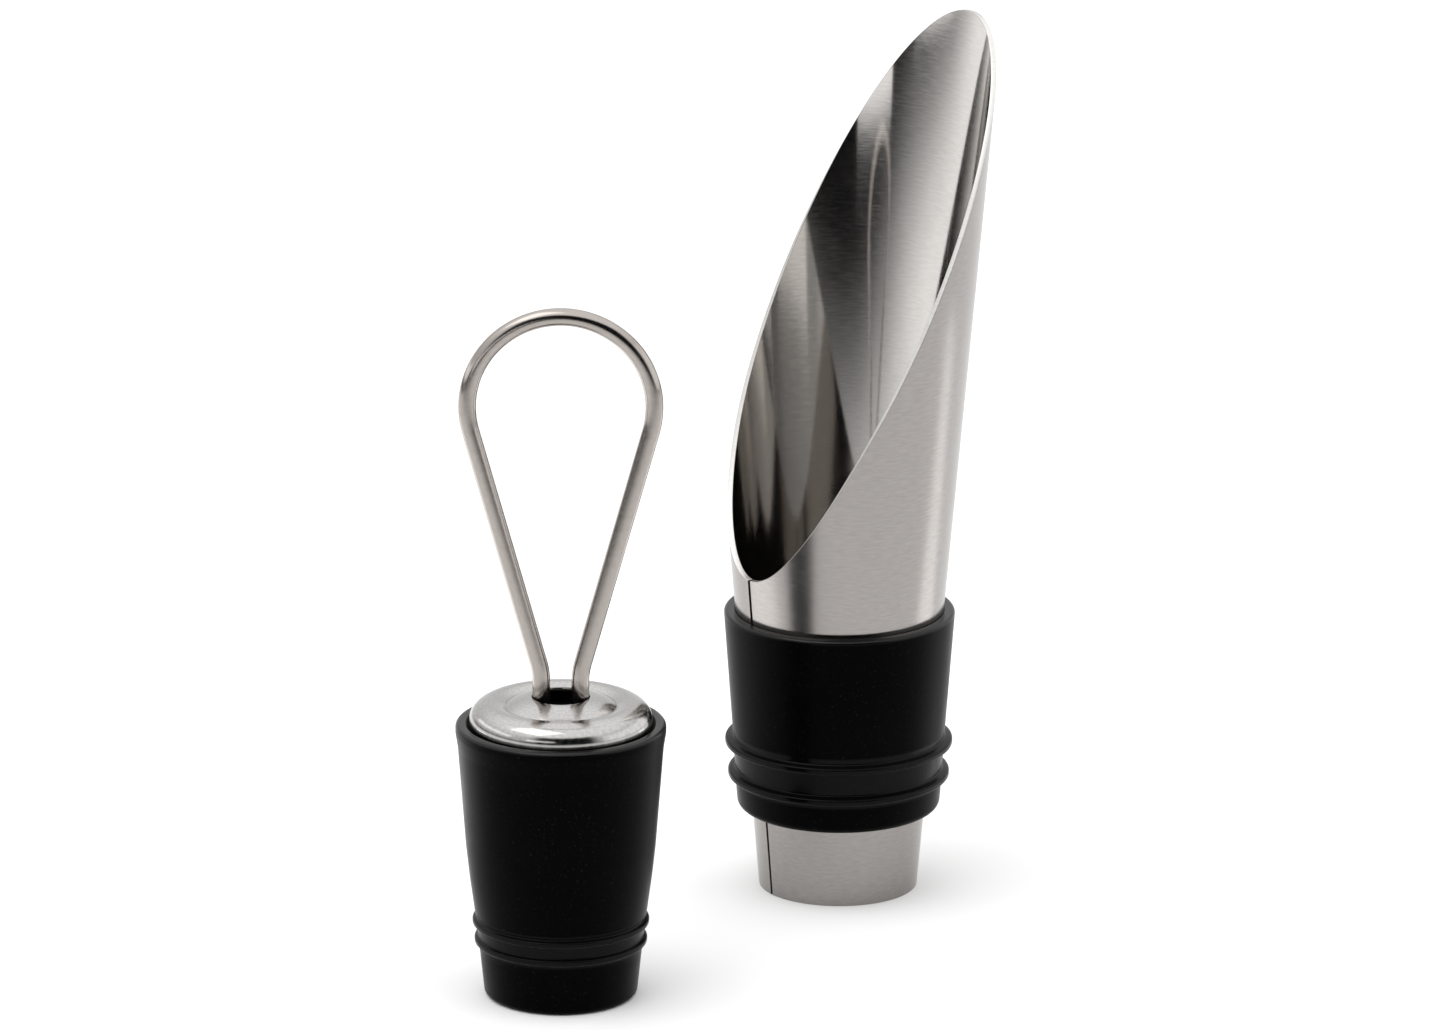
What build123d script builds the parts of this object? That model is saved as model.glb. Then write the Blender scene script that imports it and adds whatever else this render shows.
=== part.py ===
"""Liquor pour spout with its own stopper, in millimetres, +Z up.

The spout stands on its foot with its axis on Z and its mouth towards -X.
The stopper stands on its base beside it. Heights named _H are above the rim of its plug.
"""

from build123d import *
from math import asin, atan2, cos, hypot, radians, sin, tan
import os

# ---- spout shell: a blank of sheet rolled into a cone, its edges meeting in an open seam
SHEET = 0.5
FOOT_R = 7.25
TAPER = tan(radians(5.0))
TIP_Z = 80.8
TIP_R = FOOT_R + TIP_Z * TAPER
FOOT_EDGE = 0.15
SEAM_GAP = 0.2
NOTCH_Z = 30.6
CUT_KNEE_X = -3.0
CUT_KNEE_Z = 46.9

# ---- bottle sleeve: a rubber cone with two sealing fins, stretched over the shell
SLEEVE_Z0 = 7.5
SLEEVE_Z1 = 26.35
SLEEVE_R0 = 9.24
SLEEVE_R1 = 10.6
SLEEVE_FINS = ((10.8, 10.15), (13.85, 10.43))
SLEEVE_FIN_DEPTH = 1.2
SLEEVE_FIN_LAND = 0.4
SLEEVE_FIN_ROOT = 1.0
SLEEVE_ROOT_ROUND = 0.2
SLEEVE_FOOT_ROUND = 0.8
SLEEVE_TOP_ROUND = 0.3

# ---- stopper: where it stands, which way its loop faces, and the outside of its plug
STOPPER_X = -38.3
STOPPER_Y = -12.9
LOOP_TURN = -33.0
PLUG_TOP = 25.4
PLUG_RIM_R = 9.42
PLUG_SIDE = ((6.83, 0.0), (7.27, 4.2), (7.52, 6.1), (7.73, 7.8), (8.5, 13.9), (9.22, 23.6))
PLUG_LIP_Z = 24.7
PLUG_FINS = ((5.2, 7.74), (6.95, 7.9))
PLUG_FIN_DEPTH = 0.6
PLUG_FIN_LAND = 0.25
PLUG_FIN_ROOT = 0.8
PLUG_ROOT_ROUND = 0.1
PLUG_FOOT_ROUND = 0.65
PLUG_RIM_ROUND = 0.35

# ---- recess in the plug's top, and the boss inside it that the cap is pressed over
RECESS_R = 8.45
RECESS_H = -1.8
BOSS_R = 7.8
BOSS_EDGE_H = 0.1
BOSS_TOP_R = 4.4
BOSS_TOP_H = 0.9

# ---- cap: one pressed sheet with two convex rings round a hole
CAP_R = 8.2
CAP_SHEET = CAP_R - BOSS_R
CAP_HOLE = (2.56, 2.5)
CAP_INNER_RING = (3.85, 2.2)
CAP_VALLEY = (5.0, 1.62)
CAP_OUTER_RING = (6.4, 1.98)
CAP_SHOULDER = (7.5, 1.6)
CAP_TURN = (8.0, 1.05)
CAP_SKIRT = (8.2, 0.27)

# ---- pull loop: one bent wire whose feet hook under a washer moulded into the plug
WIRE_R = 0.8
LEG_X = 1.74
FLARE_H = 4.7
FLARE_BEND = 6.0
LOOP_R = 8.3
LOOP_CENTRE_H = 29.3
FOOT_X = 5.2
FOOT_BEND = 1.3
ANCHOR_R = 6.0
ANCHOR_T = 1.0
ANCHOR_H = -9.0


def shell_r(z):
    """Outside radius of the rolled cone at height z."""
    return FOOT_R + TAPER * z


def spin(*edges):
    """The solid that a closed outline in the XZ plane sweeps about Z."""
    return revolve(make_face(edges), axis=Axis.Z)


def in_xz(points):
    return [(x, 0, z) for x, z in points]


def with_fins(body, places, wedge, root_round):
    """The body with wedge-shaped rings, each narrowing from a rounded root to a short land."""
    depth, land, root = wedge
    for z, rim_r in places:
        section = ((rim_r - depth, z - root / 2), (rim_r, z - land / 2))
        section += ((rim_r, z + land / 2), (rim_r - depth, z + root / 2))
        body = body + spin(Polyline(in_xz(section), close=True))
    for z, rim_r in places:
        circles = body.edges().filter_by(GeomType.CIRCLE)
        near = [e for e in circles if abs(e.arc_center.Z - z) < root / 2]
        body = fillet([e for e in near if e.radius < rim_r - 0.05], root_round)
    return body


def rings_at(solid, z, r, reach=0.06):
    """The solid's circular edges at height z with radius r."""
    circles = solid.edges().filter_by(GeomType.CIRCLE)
    return [e for e in circles if abs(e.arc_center.Z - z) < reach and abs(e.radius - r) < reach]


def make_spout_shell():
    """Cone with an oblique scooped mouth and the open seam below its lowest point."""
    wall = SHEET / cos(atan2(TAPER, 1))
    over = TIP_Z + 10
    outline = ((FOOT_R - wall, 0), (FOOT_R, 0), (shell_r(over), over), (shell_r(over) - wall, over))
    blank = spin(Polyline(in_xz(outline), close=True))
    blank = fillet(blank.edges().group_by(Axis.Z)[0], FOOT_EDGE)

    notch = Vector(-shell_r(NOTCH_Z), 0, NOTCH_Z)
    knee = Vector(CUT_KNEE_X, 0, CUT_KNEE_Z)
    tip = Vector(TIP_R, 0, TIP_Z)
    past_tip = tip + (tip - knee) * 0.1
    straight = Line(past_tip, knee)
    curved = TangentArc(knee, notch, tangent=knee - past_tip)
    beyond = notch - Vector(TIP_R, 0, 0)
    sky = Vector(0, 0, 2 * over)
    waste_edge = Polyline(notch, beyond, beyond + sky, past_tip + sky, past_tip)
    side_view = Pos(0, -2 * TIP_R, 0) * make_face([straight, curved, waste_edge])
    waste = extrude(side_view, amount=4 * TIP_R, dir=(0, 1, 0))
    seam = Pos(notch.X, 0, 0) * Box(8, SEAM_GAP, 2.2 * NOTCH_Z)
    return blank - waste - seam


def make_bottle_sleeve():
    """The sleeve's bore is the shell's own cone, so the two meet all the way up."""
    outline = ((shell_r(SLEEVE_Z0), SLEEVE_Z0), (SLEEVE_R0, SLEEVE_Z0))
    outline += ((SLEEVE_R1, SLEEVE_Z1), (shell_r(SLEEVE_Z1), SLEEVE_Z1))
    body = spin(Polyline(in_xz(outline), close=True))
    body = fillet(rings_at(body, SLEEVE_Z0, SLEEVE_R0), SLEEVE_FOOT_ROUND)
    body = fillet(rings_at(body, SLEEVE_Z1, SLEEVE_R1), SLEEVE_TOP_ROUND)
    wedge = (SLEEVE_FIN_DEPTH, SLEEVE_FIN_LAND, SLEEVE_FIN_ROOT)
    return with_fins(body, SLEEVE_FINS, wedge, SLEEVE_ROOT_ROUND)


def make_pull_loop():
    """Two hooked legs that rise through the cap, flare out and join in one round arc."""
    centre_z = PLUG_TOP + LOOP_CENTRE_H
    flare_z = PLUG_TOP + FLARE_H
    foot_z = PLUG_TOP + ANCHOR_H - FOOT_BEND
    rise = centre_z - flare_z
    flare = asin(LOOP_R / hypot(rise, LEG_X)) - atan2(LEG_X, rise)
    join = (LOOP_R * cos(flare), centre_z - LOOP_R * sin(flare))
    corners = in_xz([(FOOT_X, foot_z), (LEG_X, foot_z), (LEG_X, flare_z), join])
    leg = FilletPolyline(*corners, radius=(FOOT_BEND, FLARE_BEND))
    top = ThreePointArc(corners[-1], (0, 0, centre_z + LOOP_R), (-join[0], 0, join[1]))
    path = Wire([*leg.edges(), top, *leg.mirror(Plane.YZ).edges()])
    start = Plane(origin=corners[0], x_dir=(0, 1, 0), z_dir=(-1, 0, 0))
    return sweep(start * Circle(WIRE_R), path=path)


def make_anchor_washer(loop):
    """A washer just above the loop's feet, with a hole for each leg."""
    base = (Align.CENTER, Align.CENTER, Align.MIN)
    disc = Pos(0, 0, PLUG_TOP + ANCHOR_H) * Cylinder(ANCHOR_R, ANCHOR_T, align=base)
    return disc - loop


def make_stopper_cap():
    """One sheet: two convex rings, a tight shoulder and a skirt that stands in the recess."""
    path = [CAP_HOLE, CAP_INNER_RING, CAP_VALLEY, CAP_OUTER_RING, CAP_SHOULDER, CAP_TURN, CAP_SKIRT]
    hole, inner, valley, outer, shoulder, turn, skirt = in_xz((r, PLUG_TOP + h) for r, h in path)
    top = Wire(
        [
            ThreePointArc(hole, inner, valley),
            ThreePointArc(valley, outer, shoulder),
            ThreePointArc(shoulder, turn, skirt),
            Line(skirt, (CAP_R, 0, PLUG_TOP + RECESS_H)),
        ]
    )
    return spin(offset(top, amount=CAP_SHEET, side=Side.RIGHT))


def make_stopper_plug(loop, washer):
    """Solid rubber moulded round the loop's feet and the washer, with a recess for the cap."""
    recess_z = PLUG_TOP + RECESS_H
    outline = [(0, 0), *PLUG_SIDE, (PLUG_RIM_R, PLUG_LIP_Z), (PLUG_RIM_R, PLUG_TOP)]
    outline += [(RECESS_R, PLUG_TOP), (RECESS_R, recess_z), (BOSS_R, recess_z)]
    outline += [(BOSS_R, PLUG_TOP + BOSS_EDGE_H), (BOSS_TOP_R, PLUG_TOP + BOSS_TOP_H)]
    outline += [(0, PLUG_TOP + BOSS_TOP_H)]
    body = spin(Polyline(in_xz(outline), close=True))
    body = fillet(rings_at(body, 0, PLUG_SIDE[0][0]), PLUG_FOOT_ROUND)
    body = fillet(rings_at(body, PLUG_TOP, PLUG_RIM_R), PLUG_RIM_ROUND)
    wedge = (PLUG_FIN_DEPTH, PLUG_FIN_LAND, PLUG_FIN_ROOT)
    body = with_fins(body, PLUG_FINS, wedge, PLUG_ROOT_ROUND)
    return body - loop - washer


def main():
    os.makedirs("parts", exist_ok=True)
    loop = make_pull_loop()
    washer = make_anchor_washer(loop)
    stand = Pos(STOPPER_X, STOPPER_Y, 0) * Rot(0, 0, LOOP_TURN)
    nodes = {
        "spout_shell": make_spout_shell(),
        "bottle_sleeve": make_bottle_sleeve(),
        "stopper_plug": stand * make_stopper_plug(loop, washer),
        "stopper_cap": stand * make_stopper_cap(),
        "pull_loop": stand * loop,
        "anchor_washer": stand * washer,
    }
    for name, solid in nodes.items():
        export_step(solid, f"parts/{name}.step")


main()
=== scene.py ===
# %% [markdown]
# A liquor pour spout and its own stopper, standing side by side on a pale table.
# The spout is a sheet of stainless steel rolled into a cone, with a scoop cut from its mouth,
# in a finned rubber sleeve that seals a bottle's neck. The stopper is a rubber plug with a
# polished cap and a wire loop to pull it by. The engineering model is loaded first. It gives the
# size and place of every piece, and each piece below is modelled again inside it, with the
# rounded edges and finishes that the engineering model leaves out.

# %% Load the frame and keep its size
from math import acos, asin, atan2, cos, degrees, hypot, pi, radians, sin, tan

import bpy
from mathutils import Euler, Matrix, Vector


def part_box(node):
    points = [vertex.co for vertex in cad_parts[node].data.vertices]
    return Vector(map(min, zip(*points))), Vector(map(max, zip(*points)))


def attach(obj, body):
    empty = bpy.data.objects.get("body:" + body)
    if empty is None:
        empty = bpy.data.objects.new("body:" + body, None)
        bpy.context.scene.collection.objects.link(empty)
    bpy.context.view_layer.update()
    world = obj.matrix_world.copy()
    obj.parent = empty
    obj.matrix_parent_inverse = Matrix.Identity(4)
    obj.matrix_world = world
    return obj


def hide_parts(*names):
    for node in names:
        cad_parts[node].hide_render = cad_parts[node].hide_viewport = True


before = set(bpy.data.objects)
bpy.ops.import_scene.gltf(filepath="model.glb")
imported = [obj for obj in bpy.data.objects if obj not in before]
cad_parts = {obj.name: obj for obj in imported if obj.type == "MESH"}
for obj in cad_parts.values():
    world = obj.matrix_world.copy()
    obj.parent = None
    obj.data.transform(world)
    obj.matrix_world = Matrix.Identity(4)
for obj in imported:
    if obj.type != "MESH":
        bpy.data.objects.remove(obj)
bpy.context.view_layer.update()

MM = 0.001

# %% [markdown]
# Most sizes can be read off the frame's boxes, which are in metres. The cone's taper and the few
# sheet and wire thicknesses can't, so they are named here once, and every piece uses them.

# %% Sizes that several pieces share
SHELL_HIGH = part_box("spout_shell")[1]
SLEEVE_LOW, SLEEVE_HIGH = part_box("bottle_sleeve")
PLUG_LOW, PLUG_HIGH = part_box("stopper_plug")
LOOP_LOW, LOOP_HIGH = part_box("pull_loop")

TAPER = tan(radians(5.0))
TIP_Z = SHELL_HIGH.z
TIP_R = SHELL_HIGH.x
FOOT_R = TIP_R - TAPER * TIP_Z
SHEET = 0.5 * MM
STOPPER_AXIS = (PLUG_LOW + PLUG_HIGH) / 2
STOPPER_AXIS.z = 0
LOOP_TURN = radians(-33.0)
PLUG_TOP = 25.4 * MM
print("spout", round(TIP_Z / MM, 1), "mm tall, foot", round(2 * FOOT_R / MM, 2), "mm across")


def shell_r(z):
    """Outside radius of the spout's cone at height z."""
    return FOOT_R + TAPER * z


# %% [markdown]
# ## The camera
# The set is seen from its front left, a little above the table, through a long lens, so that
# uprights stay almost parallel. The camera is placed from an azimuth, an elevation and the point
# it looks at, which lies between the two pieces at about the height where the scoop begins.

# %% Camera
AZIMUTH = radians(-33.0)
ELEVATION = radians(16.8)
CAMERA_FAR = 1.2
CAMERA_ROLL = radians(0.2)
LOOK_ACROSS = -10.6 * MM
LOOK_UP = 35.2 * MM
FOCAL_LENGTH = 326.7
SENSOR_WIDTH = 36.0

right = Vector((cos(AZIMUTH), sin(AZIMUTH), 0))
target = right * LOOK_ACROSS + Vector((0, 0, LOOK_UP))
outward = Vector((sin(AZIMUTH) * cos(ELEVATION), -cos(AZIMUTH) * cos(ELEVATION), sin(ELEVATION)))

lens = bpy.data.cameras.new("camera")
lens.lens = FOCAL_LENGTH
lens.sensor_width = SENSOR_WIDTH
lens.clip_start = 0.01
camera = bpy.data.objects.new("camera", lens)
bpy.context.scene.collection.objects.link(camera)
camera.location = target + outward * CAMERA_FAR
camera.rotation_mode = "QUATERNION"
looking = (-outward).to_track_quat("-Z", "Y")
camera.rotation_quaternion = looking @ Euler((0, 0, CAMERA_ROLL)).to_quaternion()
bpy.context.scene.camera = camera
print("camera", [round(x, 3) for x in camera.location])

# %% [markdown]
# ## How the turned pieces are made
# The sleeve, the plug and the cap are all round, so each one is a profile turned about an axis,
# as on a lathe. A profile is drawn the way it is by hand: a small plane is merged to one vertex,
# which is moved to the first point and extruded from point to point. Spin then turns it.
# Corners are given with a radius, so that one short list of points describes a moulded shape.

# %% Rounded profiles
ARC_STEP = radians(12)
TURN_STEPS = 200
TURN_WELD = 0.004 * MM


def rounded(corners):
    """Points (r, z) along a profile whose corners are (r, z, radius), in millimetres."""
    points = []
    for i, (x, z, radius) in enumerate(corners):
        here = Vector((x, z))
        if radius == 0 or i in (0, len(corners) - 1):
            points.append(here)
            continue
        before = (Vector(corners[i - 1][:2]) - here).normalized()
        after = (Vector(corners[i + 1][:2]) - here).normalized()
        half = acos(max(-1, min(1, before.dot(after)))) / 2
        centre = here + (before + after).normalized() * (radius / sin(half))
        start = here + before * (radius / tan(half))
        turn = pi - 2 * half
        way = 1 if before.x * after.y - before.y * after.x < 0 else -1
        steps = max(2, round(turn / ARC_STEP))
        arm = start - centre
        for k in range(steps + 1):
            angle = way * turn * k / steps
            swung = Vector((arm.x * cos(angle) - arm.y * sin(angle),
                            arm.x * sin(angle) + arm.y * cos(angle)))
            points.append(centre + swung)
    return points


def draw_profile(name, points):
    """A chain of edges from a list of (r, z) in millimetres, left selected in edit mode."""
    bpy.ops.object.select_all(action="DESELECT")
    bpy.ops.mesh.primitive_plane_add(size=MM, location=(0, 0, 0))
    bpy.context.object.name = name
    bpy.context.object.data.name = name
    bpy.ops.object.mode_set(mode="EDIT")
    bpy.ops.mesh.merge(type="CENTER")
    spots = [Vector((r * MM, 0, z * MM)) for r, z in points]
    bpy.ops.transform.translate(value=spots[0])
    for here, there in zip(spots, spots[1:]):
        bpy.ops.mesh.extrude_region_move(TRANSFORM_OT_translate={"value": there - here})
    bpy.ops.mesh.select_all(action="SELECT")
    return bpy.context.object


def turn_profile(piece):
    """Spins the selected profile a full turn about the Z axis and closes its seam and poles."""
    bpy.ops.mesh.spin(steps=TURN_STEPS, angle=2 * pi, center=(0, 0, 0), axis=(0, 0, 1))
    bpy.ops.mesh.select_all(action="SELECT")
    bpy.ops.mesh.remove_doubles(threshold=TURN_WELD)
    bpy.ops.mesh.normals_make_consistent(inside=False)
    bpy.ops.object.mode_set(mode="OBJECT")
    print(piece.name, len(piece.data.vertices), "vertices")


def pick(piece):
    """Makes the piece the only selected one, and the active one."""
    bpy.ops.object.select_all(action="DESELECT")
    piece.select_set(True)
    bpy.context.view_layer.objects.active = piece


def stand_stopper(piece):
    """Moves a stopper piece from its own axis to where it stands, and applies the move."""
    piece.location = STOPPER_AXIS
    piece.rotation_euler = (0, 0, LOOP_TURN)
    pick(piece)
    bpy.ops.object.transform_apply(location=True, rotation=True, scale=True)


def smooth(piece, angle=40):
    """Shades the piece smooth, except at edges that turn by more than the angle, in degrees."""
    pick(piece)
    bpy.ops.object.shade_smooth_by_angle(angle=radians(angle))


# %% [markdown]
# ## The spout's shell
# The real shell is one flat blank, rolled until its two straight edges almost meet. Here one
# straight edge is drawn and spun about the axis by a little less than a full turn, which leaves
# the same open seam. The scoop is then cut with planes: one for its straight run, and a fan of
# planes that lean a little more each time for the curve down to the seam. Solidify gives the
# sheet its thickness inwards, and a small bevel rounds all of its cut edges.

# %% Roll the blank
SEAM_HALF = radians(0.85)
ROLL_STEPS = 240
OVER_Z = TIP_Z + 6 * MM

straight_edge = [(-FOOT_R / MM, 0), (-shell_r(OVER_Z) / MM, OVER_Z / MM)]
shell = draw_profile("spout_shell_sheet", straight_edge)
bpy.ops.transform.rotate(value=SEAM_HALF, orient_axis="Z", center_override=(0, 0, 0))
bpy.ops.mesh.spin(steps=ROLL_STEPS, angle=2 * (pi - SEAM_HALF), center=(0, 0, 0),
                  axis=(0, 0, 1), use_auto_merge=False)

# %% Cut the scoop
KNEE = Vector((-3.0 * MM, 0, 46.9 * MM))
NOTCH_Z = 30.6 * MM
NOTCH = Vector((-shell_r(NOTCH_Z), 0, NOTCH_Z))
CURVE_CUTS = 14
CUT_PLAY = 0.001 * MM
CUT_WELD = 0.01 * MM

straight_lean = atan2(TIP_Z - KNEE.z, TIP_R - KNEE.x)
chord_lean = atan2(KNEE.z - NOTCH.z, KNEE.x - NOTCH.x)
curve_turn = 2 * (chord_lean - straight_lean)
curve_r = (KNEE - NOTCH).length / (2 * sin(curve_turn / 2))
curve_centre = KNEE + curve_r * Vector((sin(straight_lean), 0, -cos(straight_lean)))

for cut in range(CURVE_CUTS + 1):
    lean = straight_lean + curve_turn * cut / CURVE_CUTS
    up = Vector((-sin(lean), 0, cos(lean)))
    bpy.ops.mesh.select_all(action="SELECT")
    bpy.ops.mesh.bisect(plane_co=curve_centre + curve_r * up, plane_no=up, clear_outer=True,
                        threshold=CUT_PLAY)
bpy.ops.mesh.select_all(action="SELECT")
bpy.ops.mesh.remove_doubles(threshold=CUT_WELD)
bpy.ops.mesh.normals_make_consistent(inside=False)
bpy.ops.object.mode_set(mode="OBJECT")
print("scoop straight at", round(degrees(straight_lean), 1), "degrees")
print("scoop curve radius", round(curve_r / MM, 1), "mm")

# %% [markdown]
# The blank still has no thickness. Solidify grows it inwards, and gives the inner wall and the cut
# edge their own material slots, because the outside is brushed, the inside is smoother, and the
# cut edge is bright. The bevel then rounds every edge that turns sharply. Its narrow faces meet
# wall faces that are very long, and would tilt their shading from end to end, so that mirrored
# lights end up in the wrong place. Weighted Normal lets the large faces set the shading instead.

# %% Thickness, edges and slots


def apply_modifier(piece, kind, **settings):
    """Adds one modifier with its settings and applies it."""
    pick(piece)
    modifier = piece.modifiers.new(kind.lower(), kind)
    for setting, value in settings.items():
        setattr(modifier, setting, value)
    bpy.ops.object.modifier_apply(modifier=modifier.name)


def give_slots(piece, *materials):
    """Gives the piece these materials, in this order."""
    piece.data.materials.clear()
    for material in materials:
        piece.data.materials.append(material)


EDGE_ROUND = 0.11 * MM
EDGE_ANGLE = radians(40)
SEAM_SHADE_REACH = 0.19 * MM
INSIDE_SLOT, EDGE_SLOT, SEAM_SHADE_SLOT = 1, 2, 3

OUTSIDE = bpy.data.materials.new("steel_brushed_round")
INSIDE = bpy.data.materials.new("steel_inside")
EDGE = bpy.data.materials.new("steel_cut_edge")
SEAM_PAINTED_SHADE = bpy.data.materials.new("steel_seam_painted_shade")
give_slots(shell, OUTSIDE, INSIDE, EDGE, SEAM_PAINTED_SHADE)
apply_modifier(shell, "SOLIDIFY", thickness=SHEET, offset=-1.0, use_even_offset=True,
               material_offset=INSIDE_SLOT, material_offset_rim=EDGE_SLOT)
apply_modifier(shell, "BEVEL", width=EDGE_ROUND, segments=3, limit_method="ANGLE",
               angle_limit=EDGE_ANGLE)
# The faces in the seam get painted shade: dark steel for the narrow slot that little light
# reaches.
for face in shell.data.polygons:
    middle = face.center
    if middle.x < 0 and abs(middle.y) < SEAM_SHADE_REACH and middle.z < NOTCH.z:
        face.material_index = SEAM_SHADE_SLOT
smooth(shell, 30)
apply_modifier(shell, "WEIGHTED_NORMAL", mode="FACE_AREA", weight=50, keep_sharp=True)
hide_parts("spout_shell")
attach(shell, "spout")

# %% [markdown]
# ## The bottle sleeve
# The sleeve is moulded rubber: a cone with two thin fins that bend against the bottle's neck.
# Its profile is closed, starting and ending inside the bore, which lies on the shell. The fins
# have a small root radius, where the mould was rounded, and a rim that is nearly a half circle.
# Here and for the plug, the cap and the loop, sizes are plain numbers of millimetres.

# %% Sleeve
SLEEVE_Z0 = SLEEVE_LOW.z / MM
SLEEVE_Z1 = SLEEVE_HIGH.z / MM
SLEEVE_R0 = 9.24
SLEEVE_R1 = 10.6
SLEEVE_FINS = ((10.8, 10.15), (13.85, 10.43))
SLEEVE_WEDGE = (0.55, 0.9, 0.22)
RIM_SHARE = 0.42
BORE_PLAY = 0.01


def wall_at(z, low, high):
    """Radius at height z on the straight wall between two (r, z) points."""
    share = (z - low[1]) / (high[1] - low[1])
    return low[0] + share * (high[0] - low[0])


def fin(z, rim_r, wall_r, wedge):
    """A fin's corners, from the wall below it, round its rim and back to the wall above."""
    rim, root, root_round = wedge
    return [
        (wall_r, z - root / 2, root_round),
        (rim_r, z - rim / 2, rim * RIM_SHARE),
        (rim_r, z + rim / 2, rim * RIM_SHARE),
        (wall_r, z + root / 2, root_round),
    ]


sleeve_foot = (SLEEVE_R0, SLEEVE_Z0)
sleeve_rim = (SLEEVE_R1, SLEEVE_Z1)
bore_foot = (shell_r(SLEEVE_LOW.z) / MM + BORE_PLAY, SLEEVE_Z0)
bore_rim = (shell_r(SLEEVE_HIGH.z) / MM + BORE_PLAY, SLEEVE_Z1)
middle = (SLEEVE_Z0 + SLEEVE_Z1) / 2
inside_bore = (wall_at(middle, bore_foot, bore_rim), middle, 0)
sleeve_corners = [inside_bore, (*bore_foot, 0.1), (*sleeve_foot, 0.8)]
for z, rim_r in SLEEVE_FINS:
    sleeve_corners += fin(z, rim_r, wall_at(z, sleeve_foot, sleeve_rim), SLEEVE_WEDGE)
sleeve_corners += [(*sleeve_rim, 0.3), (*bore_rim, 0.12), inside_bore]
sleeve = draw_profile("bottle_sleeve_rubber", rounded(sleeve_corners))
turn_profile(sleeve)
smooth(sleeve)
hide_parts("bottle_sleeve")
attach(sleeve, "spout")

# %% [markdown]
# ## The stopper's plug
# The plug is solid rubber, slightly swollen in the middle, with a small lip at its rim and two low
# fins near its foot. Its top is sunk, with a boss in the middle that the cap is pressed over. Its
# profile starts and ends on the axis, so that the turned shape closes at both poles.

# %% Plug
TOP = PLUG_TOP / MM
PLUG_WEDGE = (0.4, 0.75, 0.12)
PLUG_RIM_R = 9.42
RECESS_R = 8.45
RECESS_H = -1.8
BOSS_R = 7.8
BOSS_TOP_H = 0.9
plug_corners = [
    (0, 0, 0), (6.83, 0, 0.65), (7.26, 4.1, 3.0),
    *fin(5.2, 7.74, 7.42, PLUG_WEDGE),
    *fin(6.95, 7.92, 7.56, PLUG_WEDGE),
    (7.7, 7.7, 0.5), (8.18, 11.2, 12.0), (8.5, 14.1, 14.0), (9.2, 23.2, 3.0),
    (PLUG_RIM_R, 24.6, 0.4), (PLUG_RIM_R, TOP, 0.35),
    (RECESS_R, TOP, 0.15), (RECESS_R, TOP + RECESS_H, 0.1), (BOSS_R, TOP + RECESS_H, 0.05),
    (BOSS_R, TOP + 0.1, 0.1), (4.4, TOP + BOSS_TOP_H, 0.5), (0, TOP + BOSS_TOP_H, 0),
]
plug = draw_profile("stopper_plug_rubber", rounded(plug_corners))
turn_profile(plug)
stand_stopper(plug)
smooth(plug)
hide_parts("stopper_plug")
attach(plug, "stopper")

# %% [markdown]
# ## The cap
# The cap is one pressed sheet. Two convex rings meet in a shallow valley, the inner one rises to
# the hole's rolled edge, and the outer one turns down into a skirt that stands in the plug's
# recess. The profile runs up the skirt, over the rings, into the hole, and back underneath.

# %% Cap


def arc(start, middle, end, steps):
    """Points on the arc through three points, from start to just before end."""
    (ax, ay), (bx, by), (cx, cy) = start, middle, end
    d = 2 * (ax * (by - cy) + bx * (cy - ay) + cx * (ay - by))
    a2, b2, c2 = ax * ax + ay * ay, bx * bx + by * by, cx * cx + cy * cy
    centre = Vector(((a2 * (by - cy) + b2 * (cy - ay) + c2 * (ay - by)) / d,
                     (a2 * (cx - bx) + b2 * (ax - cx) + c2 * (bx - ax)) / d))
    arm = Vector(start) - centre
    turn = arm.angle_signed(Vector(end) - centre)
    points = []
    for k in range(steps):
        angle = -turn * k / steps
        points.append(centre + Vector((arm.x * cos(angle) - arm.y * sin(angle),
                                       arm.x * sin(angle) + arm.y * cos(angle))))
    return points


CAP_R = 8.2
CAP_SHEET = 0.4
CAP_CHAMFER = 0.05
CAP_RINGS = (
    (CAP_R, 0.27), (8.0, 1.05), (7.5, 1.6),
    (6.4, 1.98), (5.0, 1.62),
    (3.85, 2.2), (2.75, 2.46),
)
HOLE_ROLL = ((2.62, 2.44), (2.56, 2.34), (2.58, 2.12))
skirt, turn_down, shoulder, outer_crest, valley, inner_crest, lip = (Vector(p) for p in CAP_RINGS)
outside = arc(skirt, turn_down, shoulder, steps=10)
outside += arc(shoulder, outer_crest, valley, steps=14)
outside += arc(valley, inner_crest, lip, steps=12)
normals = []
for before, after in zip(outside[:-2], outside[2:]):
    along = (after - before).normalized()
    normals.append(Vector((along.y, -along.x)))
inside = [p - n * CAP_SHEET for p, n in zip(outside[1:-1], normals)]
skirt_foot = Vector((CAP_R, RECESS_H))
foot_chamfer = [Vector((BOSS_R, RECESS_H + CAP_CHAMFER)), Vector((BOSS_R + CAP_CHAMFER, RECESS_H))]
cap_profile = [skirt_foot, *outside, lip, *(Vector(p) for p in HOLE_ROLL)]
cap_profile += [*reversed(inside), *foot_chamfer, skirt_foot]
cap = draw_profile("stopper_cap_steel", [(p.x, p.y + TOP) for p in cap_profile])
turn_profile(cap)
stand_stopper(cap)
smooth(cap)
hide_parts("stopper_cap")
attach(cap, "stopper")

# %% [markdown]
# ## The pull loop
# The loop is one length of spring wire. It is made as it is bent: a disc the size of the wire is
# extruded along the straights and spun round each bend, always from its last face. The path goes
# up one leg, over the round top and down the other leg. Its hooked feet lie in the rubber.

# %% Loop
WIRE_R = 0.8
WIRE_SIDES = 28
WIRE_WELD = 0.001 * MM
LEG_X = 1.74
FLARE_Z = TOP + 4.7
LOOP_R = 8.3
LOOP_CENTRE_Z = LOOP_HIGH.z / MM - WIRE_R - LOOP_R
FLARE_BEND = 6.0
FOOT_BEND = 1.3
FOOT_X = 5.2
FOOT_Z = LOOP_LOW.z / MM + WIRE_R
BEND_STEP = radians(4)


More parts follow.
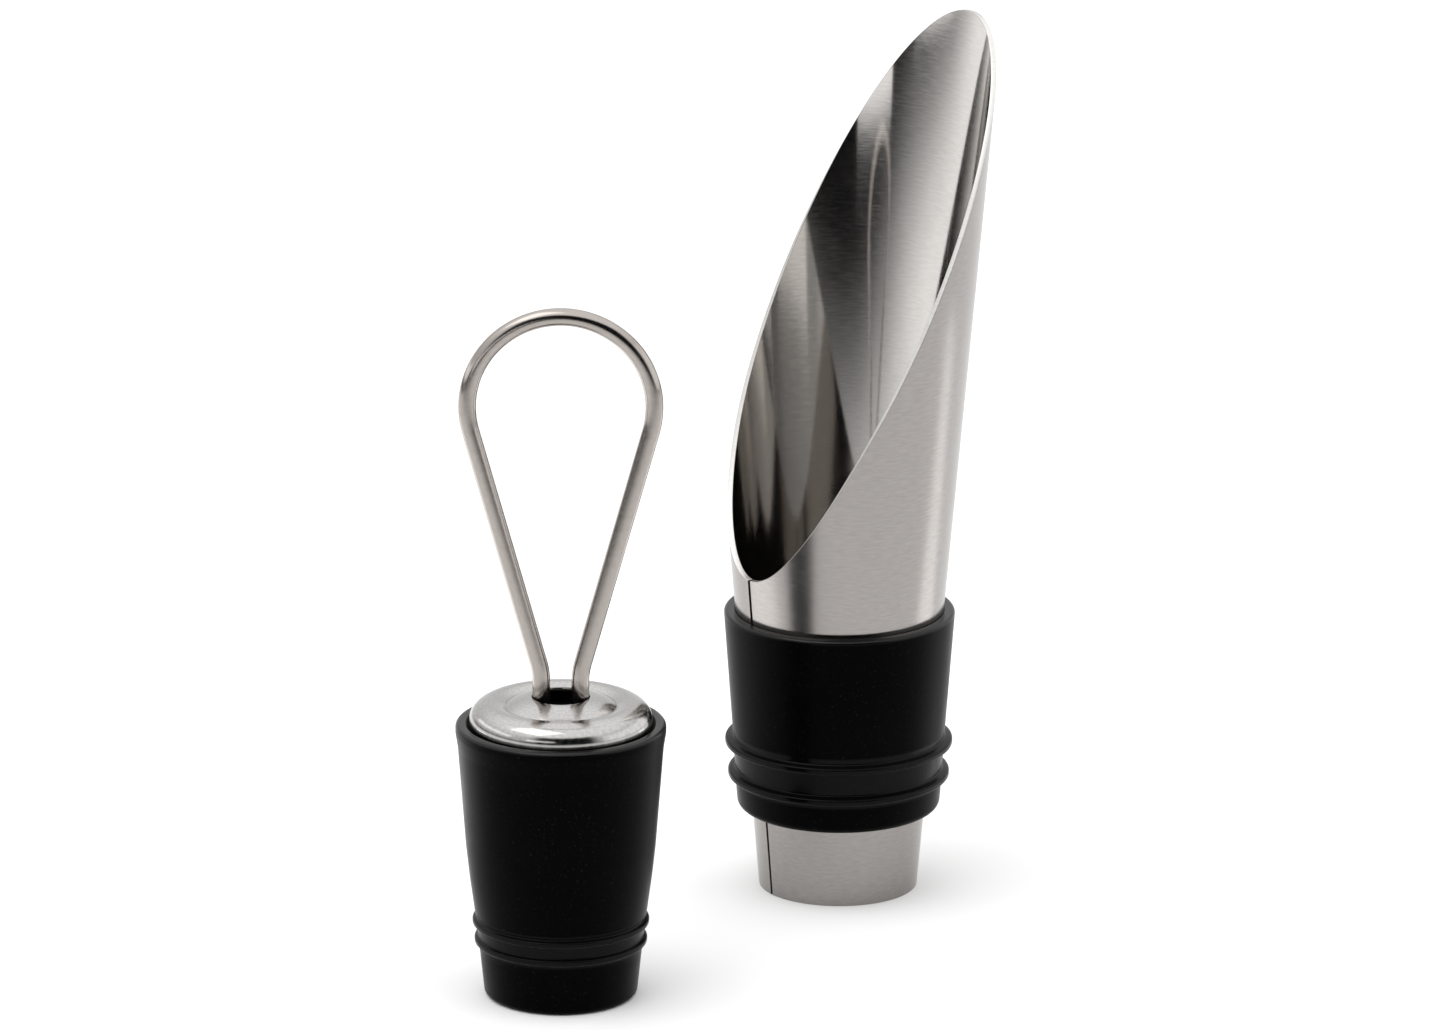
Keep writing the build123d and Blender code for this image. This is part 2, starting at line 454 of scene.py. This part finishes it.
def wire_run(way, length):
    """Extrudes the selected end face straight on."""
    straight = Vector(way) * length * MM
    bpy.ops.mesh.extrude_region_move(TRANSFORM_OT_translate={"value": straight})


def wire_bend(centre, angle):
    """Spins the selected end face in the loop's plane, clockwise as seen from the front."""
    steps = max(2, round(abs(angle) / BEND_STEP))
    bpy.ops.mesh.spin(steps=steps, angle=-angle, center=Vector(centre) * MM, axis=(0, 1, 0),
                      use_auto_merge=False)


rise = LOOP_CENTRE_Z - FLARE_Z
flare = asin(LOOP_R / hypot(rise, LEG_X)) - atan2(LEG_X, rise)
flare_cut = FLARE_BEND * tan(flare / 2)
leg_top = Vector((LEG_X, 0, FLARE_Z - flare_cut))
leg_way = Vector((sin(flare), 0, cos(flare)))
leg_start = Vector((LEG_X, 0, FLARE_Z)) + leg_way * flare_cut
leg_end = Vector((LOOP_R * cos(flare), 0, LOOP_CENTRE_Z - LOOP_R * sin(flare)))
leg_length = (leg_end - leg_start).length
shank = leg_top.z - (FOOT_Z + FOOT_BEND)

bpy.ops.object.select_all(action="DESELECT")
bpy.ops.mesh.primitive_circle_add(vertices=WIRE_SIDES, radius=WIRE_R * MM, fill_type="NGON",
                                  location=Vector((FOOT_X, 0, FOOT_Z)) * MM,
                                  rotation=(0, pi / 2, 0))
loop = bpy.context.object
loop.name = loop.data.name = "pull_loop_wire"
bpy.ops.object.transform_apply(location=True, rotation=True, scale=True)
bpy.ops.object.mode_set(mode="EDIT")
bpy.ops.mesh.select_all(action="SELECT")
wire_run((-1, 0, 0), FOOT_X - LEG_X - FOOT_BEND)
wire_bend((LEG_X + FOOT_BEND, 0, FOOT_Z + FOOT_BEND), pi / 2)
wire_run((0, 0, 1), shank)
wire_bend((LEG_X + FLARE_BEND, 0, leg_top.z), flare)
wire_run(leg_way, leg_length)
wire_bend((0, 0, LOOP_CENTRE_Z), -(pi + 2 * flare))
wire_run((leg_way.x, 0, -leg_way.z), leg_length)
wire_bend((-LEG_X - FLARE_BEND, 0, leg_top.z), flare)
wire_run((0, 0, -1), shank)
wire_bend((-LEG_X - FOOT_BEND, 0, FOOT_Z + FOOT_BEND), pi / 2)
wire_run((-1, 0, 0), FOOT_X - LEG_X - FOOT_BEND)
bpy.ops.mesh.select_all(action="SELECT")
bpy.ops.mesh.remove_doubles(threshold=WIRE_WELD)
bpy.ops.mesh.normals_make_consistent(inside=False)
bpy.ops.object.mode_set(mode="OBJECT")
stand_stopper(loop)
smooth(loop)
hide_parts("pull_loop")
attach(loop, "stopper")
print("loop", [round(x / MM, 2) for x in loop.dimensions])

# %% [markdown]
# ## Finishes
# A finish is a tree of shader nodes. The few helpers below add a node, link or set its inputs and
# hand back its output, so that each material further on reads like its recipe. A Mix node has
# one set of sockets for numbers and another for colours, so mixing colours has its own helper.

# %% Node helpers


def add_node(tree, kind, links=(), **settings):
    """A node with its settings, and with each named input linked or set."""
    node = tree.nodes.new(kind)
    for setting, value in settings.items():
        setattr(node, setting, value)
    for label, value in links:
        if isinstance(value, bpy.types.NodeSocket):
            tree.links.new(value, node.inputs[label])
        else:
            node.inputs[label].default_value = value
    return node


def sums(tree, operation, *values):
    """A Math node whose inputs are sockets or plain numbers; returns its output."""
    return add_node(tree, "ShaderNodeMath", enumerate(values), operation=operation).outputs[0]


def ramp(tree, value, low, high, to_low, to_high, smooth_step=True):
    """Maps low..high to to_low..to_high, with no overshoot."""
    links = (("Value", value), ("From Min", low), ("From Max", high),
             ("To Min", to_low), ("To Max", to_high))
    kind = "SMOOTHSTEP" if smooth_step else "LINEAR"
    return add_node(tree, "ShaderNodeMapRange", links, interpolation_type=kind).outputs["Result"]


def mix_colours(tree, factor, first, second):
    """A colour between two others, each of them a socket or three numbers."""
    node = add_node(tree, "ShaderNodeMix", (("Factor", factor),), data_type="RGBA")
    colours = [socket for socket in node.inputs if socket.type == "RGBA"]
    for socket, colour in zip(colours, (first, second)):
        if isinstance(colour, bpy.types.NodeSocket):
            tree.links.new(colour, socket)
        else:
            socket.default_value = (*colour, 1)
    return [socket for socket in node.outputs if socket.type == "RGBA"][0]


def axis_parts(tree, vector):
    """The X, Y and Z of a vector socket."""
    return add_node(tree, "ShaderNodeSeparateXYZ", (("Vector", vector),)).outputs


def new_group(name, inputs, outputs):
    """A node group with named inputs (a vector first, then numbers) and number outputs."""
    group = bpy.data.node_groups.new(name, "ShaderNodeTree")
    group.interface.new_socket("Vector", in_out="INPUT", socket_type="NodeSocketVector")
    for label, value in inputs.items():
        socket = group.interface.new_socket(label, in_out="INPUT", socket_type="NodeSocketFloat")
        socket.default_value = value
    for label in outputs:
        group.interface.new_socket(label, in_out="OUTPUT", socket_type="NodeSocketFloat")
    taken = group.nodes.new("NodeGroupInput").outputs
    given = group.nodes.new("NodeGroupOutput").inputs
    print("group", name, "gives", ", ".join(outputs))
    return group, taken, given


# %% [markdown]
# ## Brushing grain
# Steel sheet for tableware is brushed with an abrasive belt, and the cap is polished on a
# spindle. Both leave fine scratches that run round the piece's axis. An image of scratches would
# stretch on a cone, and noise in plain space would look sandblasted. So this group turns a point
# into its angle and its height, or its angle and its radius on a flat top, and draws noise that
# is long one way and fine the other. All steel uses it, with other values each time.

# %% Grain that runs round an axis
TONE_RANGE = (0.35, 0.65)
GRAIN_INPUTS = {"Lines": 5200.0, "Streaks": 9.0, "Across": 0.0}
grain, taken, given = new_group("grain_round_axis", GRAIN_INPUTS, ("Height", "Tone"))
x, y, z = axis_parts(grain, taken["Vector"])
squares = sums(grain, "ADD", sums(grain, "MULTIPLY", x, x), sums(grain, "MULTIPLY", y, y))
radius = sums(grain, "SQRT", squares)
level = add_node(grain, "ShaderNodeMix", (("Factor", taken["Across"]), ("A", z), ("B", radius)))
across = sums(grain, "MULTIPLY", level.outputs["Result"], taken["Lines"])
along = sums(grain, "MULTIPLY", sums(grain, "ARCTAN2", y, x), taken["Streaks"])
unrolled = add_node(grain, "ShaderNodeCombineXYZ", (("X", along), ("Y", across))).outputs[0]
scratches = add_node(grain, "ShaderNodeTexNoise",
                     (("Vector", unrolled), ("Scale", 1.0), ("Detail", 4.0), ("Roughness", 0.62)))
grain.links.new(scratches.outputs["Fac"], given["Height"])
tone = ramp(grain, scratches.outputs["Fac"], *TONE_RANGE, 0, 1, smooth_step=False)
grain.links.new(tone, given["Tone"])

# %% [markdown]
# ## Handling marks
# Nothing that is picked up stays even: fingers leave soft smudges, and dust leaves pale specks.
# Both are noise at two very different sizes, so one group gives both as masks. Steel uses the
# smudges for its roughness, and rubber uses both.

# %% Smudges and specks
SMUDGE_RANGE = (0.42, 0.72)
SPECK_RANGE = (0.66, 0.78)
MARK_INPUTS = {"Scale": 90.0, "Specks": 2600.0}
handling, taken, given = new_group("handling_marks", MARK_INPUTS, ("Smudge", "Speck"))
cloud = add_node(handling, "ShaderNodeTexNoise",
                 (("Vector", taken["Vector"]), ("Scale", taken["Scale"]), ("Detail", 5.0),
                  ("Roughness", 0.55), ("Distortion", 0.6)))
dust = add_node(handling, "ShaderNodeTexNoise",
                (("Vector", taken["Vector"]), ("Scale", taken["Specks"]), ("Detail", 1.0)))
smudge = ramp(handling, cloud.outputs["Fac"], *SMUDGE_RANGE, 0, 1)
handling.links.new(smudge, given["Smudge"])
speck = ramp(handling, dust.outputs["Fac"], *SPECK_RANGE, 0, 1, smooth_step=False)
handling.links.new(speck, given["Speck"])

# %% A material's common start


def start_finish(material, centre=(0, 0, 0), **constants):
    """Clears a material to one Principled shader; returns its tree, shader and coordinates."""
    material.use_nodes = True
    tree = material.node_tree
    tree.nodes.clear()
    shader = tree.nodes.new("ShaderNodeBsdfPrincipled")
    output = tree.nodes.new("ShaderNodeOutputMaterial")
    tree.links.new(shader.outputs[0], output.inputs["Surface"])
    for label, value in constants.items():
        shader.inputs[label.replace("_", " ")].default_value = value
    place = add_node(tree, "ShaderNodeTexCoord").outputs["Object"]
    back = [-value for value in centre]
    spot = add_node(tree, "ShaderNodeMapping", (("Vector", place), ("Location", back)))
    print("finish", material.name)
    return tree, shader, spot.outputs["Vector"]


def use_group(tree, group, spot, **values):
    """Adds a node group at these coordinates, with its other inputs by name."""
    links = (("Vector", spot), *values.items())
    return add_node(tree, "ShaderNodeGroup", links, node_tree=group).outputs


def bump(tree, shader, height, depth):
    """Raises and lowers the shader's surface by a height of 0 to 1 times the depth."""
    node = add_node(tree, "ShaderNodeBump", (("Height", height), ("Distance", depth)))
    tree.links.new(node.outputs["Normal"], shader.inputs["Normal"])


# %% [markdown]
# ## Steel
# Everything steel here is stainless, and only its surface differs. The spout's outside is
# brushed: fine grooves round the cone blur a reflection upwards and downwards but not sideways,
# so lights show in it as upright bands. A bump that fine is smaller than the eye can see, so the
# blur comes from Anisotropic, and the bump and tone only add the visible scratches. The inside
# is almost a mirror. The cut edge is paler, and the two faces in the seam are painted nearly
# black, as painted shade for the narrow slot that little light reaches. The cap is polished in
# rings, and the wire is drawn, dull and a little warmer.

# %% Steel
SMUDGE_DULLS = 0.02
ORIGIN = (0, 0, 0)


def steel(material, centre, dark, light, gloss, groove, lines=5200, streaks=9, across=0.0,
          stretch=0.0):
    """Steel with grain round an axis; gloss is its lowest and highest roughness."""
    tree, shader, spot = start_finish(material, centre, Metallic=1.0, Anisotropic=stretch)
    marks = use_group(tree, grain, spot, Lines=lines, Streaks=streaks, Across=across)
    prints = use_group(tree, handling, spot)
    tree.links.new(mix_colours(tree, marks["Tone"], dark, light), shader.inputs["Base Color"])
    rough = ramp(tree, marks["Tone"], 0, 1, *gloss, smooth_step=False)
    rough = sums(tree, "MULTIPLY_ADD", prints["Smudge"], SMUDGE_DULLS, rough)
    tree.links.new(rough, shader.inputs["Roughness"])
    bump(tree, shader, marks["Height"], groove)


steel(OUTSIDE, ORIGIN, (0.29, 0.272, 0.26), (0.335, 0.315, 0.302), (0.17, 0.19), 0.0007 * MM,
      stretch=0.85)
steel(INSIDE, ORIGIN, (0.53, 0.51, 0.49), (0.61, 0.59, 0.57), (0.07, 0.09), 0.0004 * MM)
steel(EDGE, ORIGIN, (0.6, 0.59, 0.57), (0.68, 0.67, 0.65), (0.3, 0.4), 0.001 * MM,
      lines=9000, streaks=60)
# Painted shade: the seam's faces are nearly black, for the narrow slot that little light reaches.
steel(SEAM_PAINTED_SHADE, ORIGIN, (0.02, 0.017, 0.015), (0.06, 0.05, 0.045), (0.5, 0.6), 0.001 * MM,
      lines=9000, streaks=60)

# %% Steel of the stopper
CAP_STEEL = bpy.data.materials.new("steel_polished_cap")
steel(CAP_STEEL, STOPPER_AXIS, (0.37, 0.363, 0.355), (0.46, 0.452, 0.443), (0.12, 0.19),
      0.0008 * MM, streaks=20, across=1.0)
give_slots(cap, CAP_STEEL)
WIRE_STEEL = bpy.data.materials.new("steel_drawn_wire")
steel(WIRE_STEEL, STOPPER_AXIS, (0.34, 0.31, 0.29), (0.39, 0.36, 0.335), (0.15, 0.19),
      0.0003 * MM, lines=1800, streaks=60)
give_slots(loop, WIRE_STEEL)
WASHER_STEEL = bpy.data.materials.new("steel_washer")
steel(WASHER_STEEL, STOPPER_AXIS, (0.4, 0.4, 0.4), (0.5, 0.5, 0.5), (0.3, 0.4), 0.002 * MM,
      streaks=20, across=1.0)
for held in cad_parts["anchor_washer"].material_slots:
    held.material = WASHER_STEEL

# %% [markdown]
# ## Rubber
# The rubber is moulded and deep black, with a skin so fine that it only dulls the surface. Where
# the mould was smoothest, on the fins and round the rim, the rubber is glossier, which a clear
# coat gives: its weight is a mask by height, one band over the fins and one at the rim. A little
# sheen lightens the rubber where it turns away from the eye.

# %% Rubber
CLEAN_BLACK = (0.0002, 0.0002, 0.0002)
SMUDGED_BLACK = (0.0008, 0.0007, 0.0007)
DUST = (0.08, 0.075, 0.07)
DUST_SHOWS = 0.12
RUBBER_ROUGH = (0.3, 0.38)
SKIN_DEPTH = 0.002 * MM
FIN_GLOSS = 0.14
FIN_FADE = 0.3
RIM_GLOSS = 0.45
RIM_FADE = (0.4, 0.1)


def rubber(material, centre, fins, rim):
    """Black rubber, glossier between two heights at its fins and above another at its rim."""
    tree, shader, spot = start_finish(material, centre, Specular_IOR_Level=0.02, Sheen_Weight=0.1,
                                      Sheen_Roughness=0.35, Coat_Roughness=0.14)
    prints = use_group(tree, handling, spot, Scale=120.0, Specks=5200.0)
    skin = add_node(tree, "ShaderNodeTexNoise",
                    (("Vector", spot), ("Scale", 7000.0), ("Detail", 3.0)))
    black = mix_colours(tree, prints["Smudge"], CLEAN_BLACK, SMUDGED_BLACK)
    dusty = sums(tree, "MULTIPLY", prints["Speck"], DUST_SHOWS)
    tree.links.new(mix_colours(tree, dusty, black, DUST), shader.inputs["Base Color"])
    rough = ramp(tree, prints["Smudge"], 0, 1, *RUBBER_ROUGH, smooth_step=False)
    tree.links.new(rough, shader.inputs["Roughness"])
    height = axis_parts(tree, spot)["Z"]
    low, high = fins
    over = ramp(tree, height, (low - FIN_FADE) * MM, low * MM, 0, FIN_GLOSS)
    under = ramp(tree, height, high * MM, (high + FIN_FADE) * MM, 1, 0)
    rim_starts, rim_full = ((rim - fade) * MM for fade in RIM_FADE)
    at_rim = ramp(tree, height, rim_starts, rim_full, 0, RIM_GLOSS)
    gloss = sums(tree, "ADD", sums(tree, "MULTIPLY", over, under), at_rim)
    tree.links.new(gloss, shader.inputs["Coat Weight"])
    bump(tree, shader, skin.outputs["Fac"], SKIN_DEPTH)


SLEEVE_RUBBER = bpy.data.materials.new("rubber_sleeve")
rubber(SLEEVE_RUBBER, ORIGIN, (10.2, 14.7), SLEEVE_Z1)
give_slots(sleeve, SLEEVE_RUBBER)
PLUG_RUBBER = bpy.data.materials.new("rubber_plug")
rubber(PLUG_RUBBER, STOPPER_AXIS, (4.8, 7.5), TOP)
give_slots(plug, PLUG_RUBBER)

# %% [markdown]
# ## Table and room
# Polished metal has hardly any look of its own: it shows the room. So the room is made with as
# much care as the metal. The table is a pale plane that lights both pieces from below. Light Path
# tells a mirrored ray from one that the camera sees, and for mirrored rays alone the table's
# colour fades to black towards its front and its sides. That is painted shade, seen only in
# reflections, and it gives the metal its dark bands.

# %% Table
TABLE_FRONT = 0.65
TABLE_BACK = 1.2
TABLE_WIDE = 1.4
SHADE_FADE_FRONT = -0.56
SHADE_FADE_SIDES = (0.35, 0.70)
behind = (TABLE_BACK - TABLE_FRONT) / 2
table_middle = (-sin(AZIMUTH) * behind, cos(AZIMUTH) * behind, 0)
bpy.ops.object.select_all(action="DESELECT")
bpy.ops.mesh.primitive_plane_add(size=1.0, location=table_middle, rotation=(0, 0, AZIMUTH))
table = bpy.context.object
table.name = "table"
table.scale = (TABLE_WIDE, TABLE_FRONT + TABLE_BACK, 1)
bpy.ops.object.transform_apply(location=True, rotation=True, scale=True)

TABLE_PAINT = bpy.data.materials.new("pale_table")
tree, shader, spot = start_finish(TABLE_PAINT, Roughness=0.9, Specular_IOR_Level=0.0)
paint = add_node(tree, "ShaderNodeTexNoise", (("Vector", spot), ("Scale", 3.0)))
pale = mix_colours(tree, paint.outputs["Fac"], (0.93, 0.93, 0.93), (0.95, 0.95, 0.95))
toward = add_node(tree, "ShaderNodeMapping", (("Vector", spot), ("Rotation", (0, 0, -AZIMUTH))))
x, y, z = axis_parts(tree, toward.outputs[0])
# Painted shade: for mirrored rays alone, the table's colour darkens to black towards its front and
# sides.
bright = ramp(tree, y, SHADE_FADE_FRONT, 0, 0, 1)
sideways = ramp(tree, sums(tree, "ABSOLUTE", x), *SHADE_FADE_SIDES, 1, 0)
bright = sums(tree, "MULTIPLY", bright, sideways)
mirrored = add_node(tree, "ShaderNodeLightPath").outputs["Is Glossy Ray"]
mirrored_shade = sums(tree, "MULTIPLY", sums(tree, "SUBTRACT", 1, bright), mirrored)
tree.links.new(mix_colours(tree, mirrored_shade, pale, (0, 0, 0)), shader.inputs["Base Color"])
give_slots(table, TABLE_PAINT)
print("table", [round(side, 2) for side in table.dimensions])

# %% [markdown]
# ## The room's walls
# A world shader can give each direction its own brightness, which does the work of a studio full
# of screens. It is laid out round the set, in degrees of turn to the left (less than 0) and right
# of the camera's side, and in the sine of the height. The room is light, and lighter still high
# up. Over it lie soft-edged screens: two dim ones low down at the left, a black one on the
# camera's side and a bright one at the right. Rays from the camera itself see white.

# %% Room
SKY_LOW, SKY_TOP = 0.9, 1.5
SKY_RISE = (0.3, 0.8)
DOWN = -2
SCREENS = (
    # strength, left, right, low, high
    (0.2, -140, -20, DOWN, 0.06),
    (0.1, -60, -20, DOWN, 0),
    (0.004, -34, 46, DOWN, 0.62),
    (1.5, 58, 140, DOWN, 0.45),
)

world = bpy.data.worlds.new("studio")
bpy.context.scene.world = world
world.use_nodes = True
sky = world.node_tree
sky.nodes.clear()
way = add_node(sky, "ShaderNodeTexCoord").outputs["Generated"]
turned = add_node(sky, "ShaderNodeMapping", (("Vector", way), ("Rotation", (0, 0, -AZIMUTH))))
x, y, lift = axis_parts(sky, turned.outputs[0])
turn = sums(sky, "MULTIPLY", sums(sky, "ARCTAN2", x, sums(sky, "MULTIPLY", y, -1)), 180 / pi)


def screen(room, strength, left, right, low, high, soft=10, soft_lift=0.08):
    """Lays a soft-edged patch over the room, from left to right and from low to high."""
    share = ramp(sky, turn, left - soft, left + soft, 0, 1)
    share = sums(sky, "MULTIPLY", share, ramp(sky, turn, right - soft, right + soft, 1, 0))
    share = sums(sky, "MULTIPLY", share, ramp(sky, lift, low - soft_lift, low + soft_lift, 0, 1))
    share = sums(sky, "MULTIPLY", share, ramp(sky, lift, high - soft_lift, high + soft_lift, 1, 0))
    laid = add_node(sky, "ShaderNodeMix", (("Factor", share), ("A", room), ("B", strength)))
    return laid.outputs["Result"]


room = ramp(sky, lift, *SKY_RISE, SKY_LOW, SKY_TOP)
for patch in SCREENS:
    room = screen(room, *patch)

seen = add_node(sky, "ShaderNodeBackground", (("Color", (1, 1, 1, 1)), ("Strength", 1.0)))
lit = add_node(sky, "ShaderNodeBackground", (("Color", (1, 1, 1, 1)), ("Strength", room)))
ray = add_node(sky, "ShaderNodeLightPath").outputs["Is Camera Ray"]
shaders = ((0, ray), (1, lit.outputs[0]), (2, seen.outputs[0]))
both = add_node(sky, "ShaderNodeMixShader", shaders)
add_node(sky, "ShaderNodeOutputWorld", (("Surface", both.outputs[0]),))
bpy.context.scene.view_settings.view_transform = "Standard"
print("room nodes", len(sky.nodes))

# %% [markdown]
# ## Soft boxes
# One large box at the upper left gives the soft shadow. Two small strips, one low in front and
# one at the left, are there only to be mirrored inside the scoop. Two panels lie on the table,
# facing up: the cone leans outwards, so its sides mirror the table, and the panels draw an
# upright bright band near each side. The camera sees neither the strips nor the panels.

# %% Soft boxes
SET_MIDDLE = Vector((-15 * MM, -8 * MM, 30 * MM))
PANEL_LIFT = 1 * MM


def soft_box(name, azimuth, elevation, far, size, power):
    """An area light that faces the set, at an azimuth and elevation from the camera's side."""
    box = bpy.data.lights.new(name, "AREA")
    box.shape = "RECTANGLE"
    box.size, box.size_y = size
    box.energy = power
    light = bpy.data.objects.new(name, box)
    bpy.context.scene.collection.objects.link(light)
    around = AZIMUTH + radians(azimuth)
    up = radians(elevation)
    outwards = Vector((sin(around) * cos(up), -cos(around) * cos(up), sin(up)))
    light.location = SET_MIDDLE + outwards * far
    light.rotation_mode = "QUATERNION"
    light.rotation_quaternion = (-outwards).to_track_quat("-Z", "Y")
    print("light", name, [round(x, 3) for x in light.location])
    return light


def table_panel(name, azimuth, near, far, width, power):
    """A light lying on the table and facing up, from near to far from the set's middle."""
    panel = soft_box(name, azimuth, 0, (near + far) / 2, (width, far - near), power)
    panel.location.z = PANEL_LIFT
    panel.rotation_mode = "XYZ"
    panel.rotation_euler = (pi, 0, AZIMUTH + radians(azimuth))
    return panel


soft_box("upper_left_box", -60, 65, 0.7, (0.5, 0.4), 0.9)
front_strip = soft_box("front_strip", -27, 9.9, 0.183, (0.1, 0.024), 0.0102)
left_strip = soft_box("left_strip", -92, 15.5, 0.15, (0.17, 0.024), 0.013)
right_panel = table_panel("right_panel", 114, 0.045, 0.16, 0.03, 0.0105)
left_panel = table_panel("left_panel", -104, 0.045, 0.16, 0.045, 0.013)
for unseen in (front_strip, left_strip, right_panel, left_panel):
    unseen.visible_camera = False
